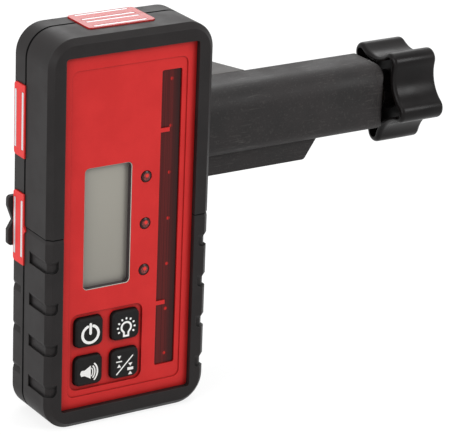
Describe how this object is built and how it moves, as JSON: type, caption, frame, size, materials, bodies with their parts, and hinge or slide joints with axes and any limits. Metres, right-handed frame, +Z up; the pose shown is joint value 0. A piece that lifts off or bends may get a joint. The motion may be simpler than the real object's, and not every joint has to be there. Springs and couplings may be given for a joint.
{
  "type": "laser receiver",
  "caption": "Hand-size laser receiver in a black case with a red panel, on a clamp whose screw-driven jaw grips a measuring staff.",
  "frame": {"origin": "on the reading line, where the fixed jaw's face meets the back of the arm that the staff lies against", "axes": "+X along the arm towards its knob, +Y from the display towards the staff, +Z up along the staff"},
  "size_m": [0.2119, 0.09, 0.1686],
  "materials": {
    "case_black": "soft-touch moulding, finely textured",
    "seal_black": "soft seal",
    "panel_red": "satin moulding",
    "display_grey": "display glass",
    "holder_white": "plain moulding",
    "filter_red": "dark red transparent window",
    "component_black": "moulded components",
    "lamp_red": "clear red lamps",
    "board_green": "circuit board",
    "tray_black": "plain moulding",
    "cell_jacket": "battery cells, at their mean density",
    "contact_steel": "plated contacts",
    "screw_steel": "zinc plated",
    "insert_red": "satin moulding",
    "pole_steel": "bright strips",
    "magnet_grey": "magnets",
    "brass": "turned",
    "button_black": "soft matt keys",
    "clamp_black": "glass-filled moulding, lightly scuffed",
    "knob_black": "satin moulding",
    "pad_rubber": "ribbed pads"
  },
  "bodies": {
    "receiver": {"front_shell": "case_black", "rear_shell": "case_black", "case_seal": "seal_black", "front_panel": "panel_red", "lcd_module": "display_grey", "lcd_holder": "holder_white", "filter_window": "filter_red", "photodiodes": "component_black", "indicator_leds": "lamp_red", "main_board": "board_green", "tact_switches": "component_black", "buzzer": "component_black", "battery_tray": "tray_black", "battery_cells": "cell_jacket", "battery_contacts": "contact_steel", "case_screws": "screw_steel", "board_screws": "screw_steel", "top_insert_front": "insert_red", "top_insert_rear": "insert_red", "side_insert_upper": "insert_red", "side_insert_lower": "insert_red", "pole_strips": "pole_steel", "magnet_bars": "magnet_grey", "mount_nut": "brass", "clamp_bracket": "clamp_black", "arm_end_cap": "clamp_black", "end_cap_screws": "screw_steel", "fixed_jaw_pad": "pad_rubber"},
    "door": {"battery_door": "case_black", "door_hinge_pin": "screw_steel"},
    "power_key": {"power_button": "button_black"},
    "light_key": {"light_button": "button_black"},
    "sound_key": {"sound_button": "button_black"},
    "precision_key": {"precision_button": "button_black"},
    "captive_washer": {"screw_washer": "screw_steel"},
    "attaching_knob_set": {"attaching_screw": "screw_steel", "attaching_knob": "knob_black"},
    "clamp_screw": {"lead_screw": "screw_steel", "star_knob": "knob_black", "thrust_washer": "brass", "retaining_ring": "screw_steel"},
    "jaw": {"moving_jaw": "clamp_black", "jaw_nut": "brass", "moving_jaw_pad": "pad_rubber"}
  },
  "joints": [
    {"name": "power_press", "type": "slide", "parent": "receiver", "child": "power_key", "axis": [0, 1, 0], "range_m": [0, 0.0008], "stiffness_N_per_m": 1500},
    {"name": "light_press", "type": "slide", "parent": "receiver", "child": "light_key", "axis": [0, 1, 0], "range_m": [0, 0.0008], "stiffness_N_per_m": 1500},
    {"name": "sound_press", "type": "slide", "parent": "receiver", "child": "sound_key", "axis": [0, 1, 0], "range_m": [0, 0.0008], "stiffness_N_per_m": 1500},
    {"name": "precision_press", "type": "slide", "parent": "receiver", "child": "precision_key", "axis": [0, 1, 0], "range_m": [0, 0.0008], "stiffness_N_per_m": 1500},
    {"name": "knob_turn", "type": "hinge", "parent": "receiver", "child": "clamp_screw", "pos_m": [0.11, -0.011, 0.025], "axis": [1, 0, 0], "range_deg": [-1711, 4321]},
    {"name": "jaw_slide", "type": "slide", "parent": "receiver", "child": "jaw", "axis": [1, 0, 0], "range_m": [-0.019, 0.048]},
    {"name": "washer_slide", "type": "slide", "parent": "receiver", "child": "captive_washer", "axis": [0, 1, 0], "range_m": [0, 0.006]},
    {"name": "attaching_turn", "type": "hinge", "parent": "captive_washer", "child": "attaching_knob_set", "pos_m": [-0.04, -0.0145, -0.013], "axis": [0, 1, 0], "range_deg": [0, 1702]},
    {"name": "door_swing", "type": "hinge", "parent": "receiver", "child": "door", "pos_m": [-0.04, -0.0262, -0.072], "axis": [-1, 0, 0], "range_deg": [0, 95]}
  ],
  "couplings": [
    {"joint": "knob_turn", "follows": "jaw_slide", "rad_per_m": 1570.8},
    {"joint": "attaching_turn", "follows": "washer_slide", "rad_per_m": 4947.4}
  ]
}
